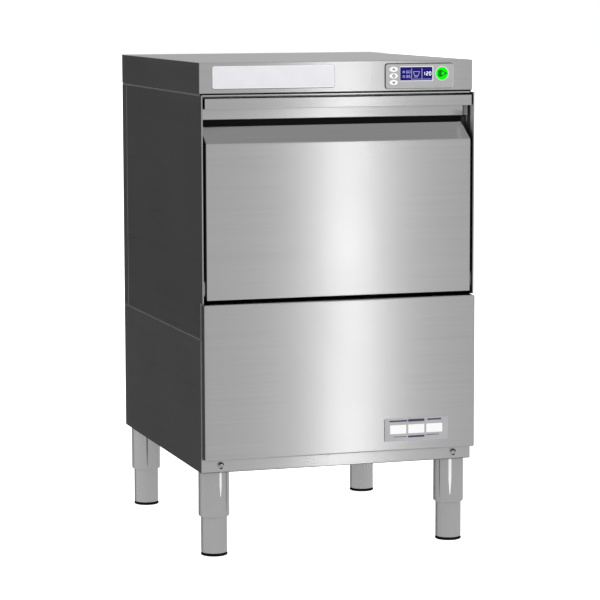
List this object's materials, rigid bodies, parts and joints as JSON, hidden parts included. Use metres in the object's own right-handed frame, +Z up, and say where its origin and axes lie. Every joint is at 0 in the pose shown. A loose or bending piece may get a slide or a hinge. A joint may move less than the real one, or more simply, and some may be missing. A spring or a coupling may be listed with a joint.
{
  "type": "glass washer machine",
  "caption": "Under-counter front-loading glass washer: stainless cabinet on adjustable legs with a drop-down door, recessed handle and a small control panel.",
  "frame": {"origin": "centre of the bounding box on the floor, under the feet", "axes": "+Z up, the door faces -Y, +X to the right of someone facing the door"},
  "size_m": [0.48, 0.5554, 0.8295],
  "materials": {
    "front_steel": "brushed stainless, fine vertical grain",
    "side_steel": "brushed stainless, side panels",
    "inner_steel": "bright stainless inside",
    "leg_steel": "polished stainless tube",
    "bright_steel": "bright steel fittings",
    "badge": "satin aluminium plate",
    "rubber": "matt black rubber",
    "bezel": "satin grey plastic",
    "display": "glossy blue display window",
    "key_white": "matt white keys",
    "key_green": "bright green key",
    "label": "foil label",
    "arm_plastic": "dark moulded plastic",
    "pump_paint": "dark painted cast pump",
    "board": "green circuit board",
    "brass": "machined brass"
  },
  "bodies": {
    "cabinet": {"badge_plate": "badge", "base_housing": "side_steel", "base_tray": "front_steel", "cable_gland": "rubber", "control_bezel": "bezel", "control_board": "board", "display_window": "display", "door_seal": "rubber", "door_spring_left": "bright_steel", "door_spring_right": "bright_steel", "drain_outlet": "arm_plastic", "front_panel": "front_steel", "hinge_bracket_left": "bright_steel", "hinge_bracket_right": "bright_steel", "hinge_pin_left": "bright_steel", "hinge_pin_right": "bright_steel", "hood": "front_steel", "left_panel_screw": "bright_steel", "left_side_panel": "side_steel", "leg_sleeve_back_left": "leg_steel", "leg_sleeve_back_right": "leg_steel", "leg_sleeve_front_left": "leg_steel", "leg_sleeve_front_right": "leg_steel", "lower_arm_spindle": "arm_plastic", "overflow_standpipe": "arm_plastic", "rack_rail_left": "inner_steel", "rack_rail_right": "inner_steel", "rating_label": "label", "rear_cover": "side_steel", "right_panel_screw": "bright_steel", "right_side_panel": "side_steel", "rinse_boiler": "inner_steel", "tank_heater": "bright_steel", "tank_strainer": "inner_steel", "top_front_rail": "front_steel", "upper_arm_spindle": "arm_plastic", "upper_feed_pipe": "rubber", "wash_chamber": "inner_steel", "wash_pump": "pump_paint", "wash_tank": "inner_steel", "water_inlet": "brass"},
    "door": {"door_outer_skin": "front_steel", "door_handle_channel": "front_steel", "door_inner_liner": "inner_steel"},
    "up_key": {"up_button": "key_white"},
    "select_key": {"select_button": "key_white"},
    "down_key": {"down_button": "key_white"},
    "start_key": {"start_button": "key_green"},
    "lower_wash_arm_rotor": {"lower_wash_arm": "arm_plastic"},
    "lower_rinse_arm_rotor": {"lower_rinse_arm": "arm_plastic"},
    "upper_wash_arm_rotor": {"upper_wash_arm": "arm_plastic"},
    "upper_rinse_arm_rotor": {"upper_rinse_arm": "arm_plastic"},
    "foot_front_left": {"foot_tube_front_left": "leg_steel", "foot_pad_front_left": "rubber"},
    "foot_front_right": {"foot_tube_front_right": "leg_steel", "foot_pad_front_right": "rubber"},
    "foot_back_left": {"foot_tube_back_left": "leg_steel", "foot_pad_back_left": "rubber"},
    "foot_back_right": {"foot_tube_back_right": "leg_steel", "foot_pad_back_right": "rubber"}
  },
  "joints": [
    {"name": "door_hinge", "type": "hinge", "parent": "cabinet", "child": "door", "pos_m": [0, -0.25, 0.456], "axis": [1, 0, 0], "range_deg": [0, 90]},
    {"name": "up_key_press", "type": "slide", "parent": "cabinet", "child": "up_key", "axis": [0, 1, 0], "range_m": [0, 0.001], "stiffness_N_per_m": 500},
    {"name": "select_key_press", "type": "slide", "parent": "cabinet", "child": "select_key", "axis": [0, 1, 0], "range_m": [0, 0.001], "stiffness_N_per_m": 500},
    {"name": "down_key_press", "type": "slide", "parent": "cabinet", "child": "down_key", "axis": [0, 1, 0], "range_m": [0, 0.001], "stiffness_N_per_m": 500},
    {"name": "start_key_press", "type": "slide", "parent": "cabinet", "child": "start_key", "axis": [0, 1, 0], "range_m": [0, 0.001], "stiffness_N_per_m": 500},
    {"name": "lower_wash_arm_spin", "type": "hinge", "parent": "cabinet", "child": "lower_wash_arm_rotor", "pos_m": [0, 0.005, 0.465], "axis": [0, 0, 1], "continuous": true},
    {"name": "lower_rinse_arm_spin", "type": "hinge", "parent": "cabinet", "child": "lower_rinse_arm_rotor", "pos_m": [0, 0.005, 0.4815], "axis": [0, 0, 1], "continuous": true},
    {"name": "upper_wash_arm_spin", "type": "hinge", "parent": "cabinet", "child": "upper_wash_arm_rotor", "pos_m": [0, 0.005, 0.75], "axis": [0, 0, 1], "continuous": true},
    {"name": "upper_rinse_arm_spin", "type": "hinge", "parent": "cabinet", "child": "upper_rinse_arm_rotor", "pos_m": [0, 0.005, 0.7335], "axis": [0, 0, 1], "continuous": true},
    {"name": "foot_front_left_adjust", "type": "slide", "parent": "cabinet", "child": "foot_front_left", "axis": [0, 0, -1], "range_m": [0, 0.04]},
    {"name": "foot_front_right_adjust", "type": "slide", "parent": "cabinet", "child": "foot_front_right", "axis": [0, 0, -1], "range_m": [0, 0.04]},
    {"name": "foot_back_left_adjust", "type": "slide", "parent": "cabinet", "child": "foot_back_left", "axis": [0, 0, -1], "range_m": [0, 0.04]},
    {"name": "foot_back_right_adjust", "type": "slide", "parent": "cabinet", "child": "foot_back_right", "axis": [0, 0, -1], "range_m": [0, 0.04]}
  ]
}
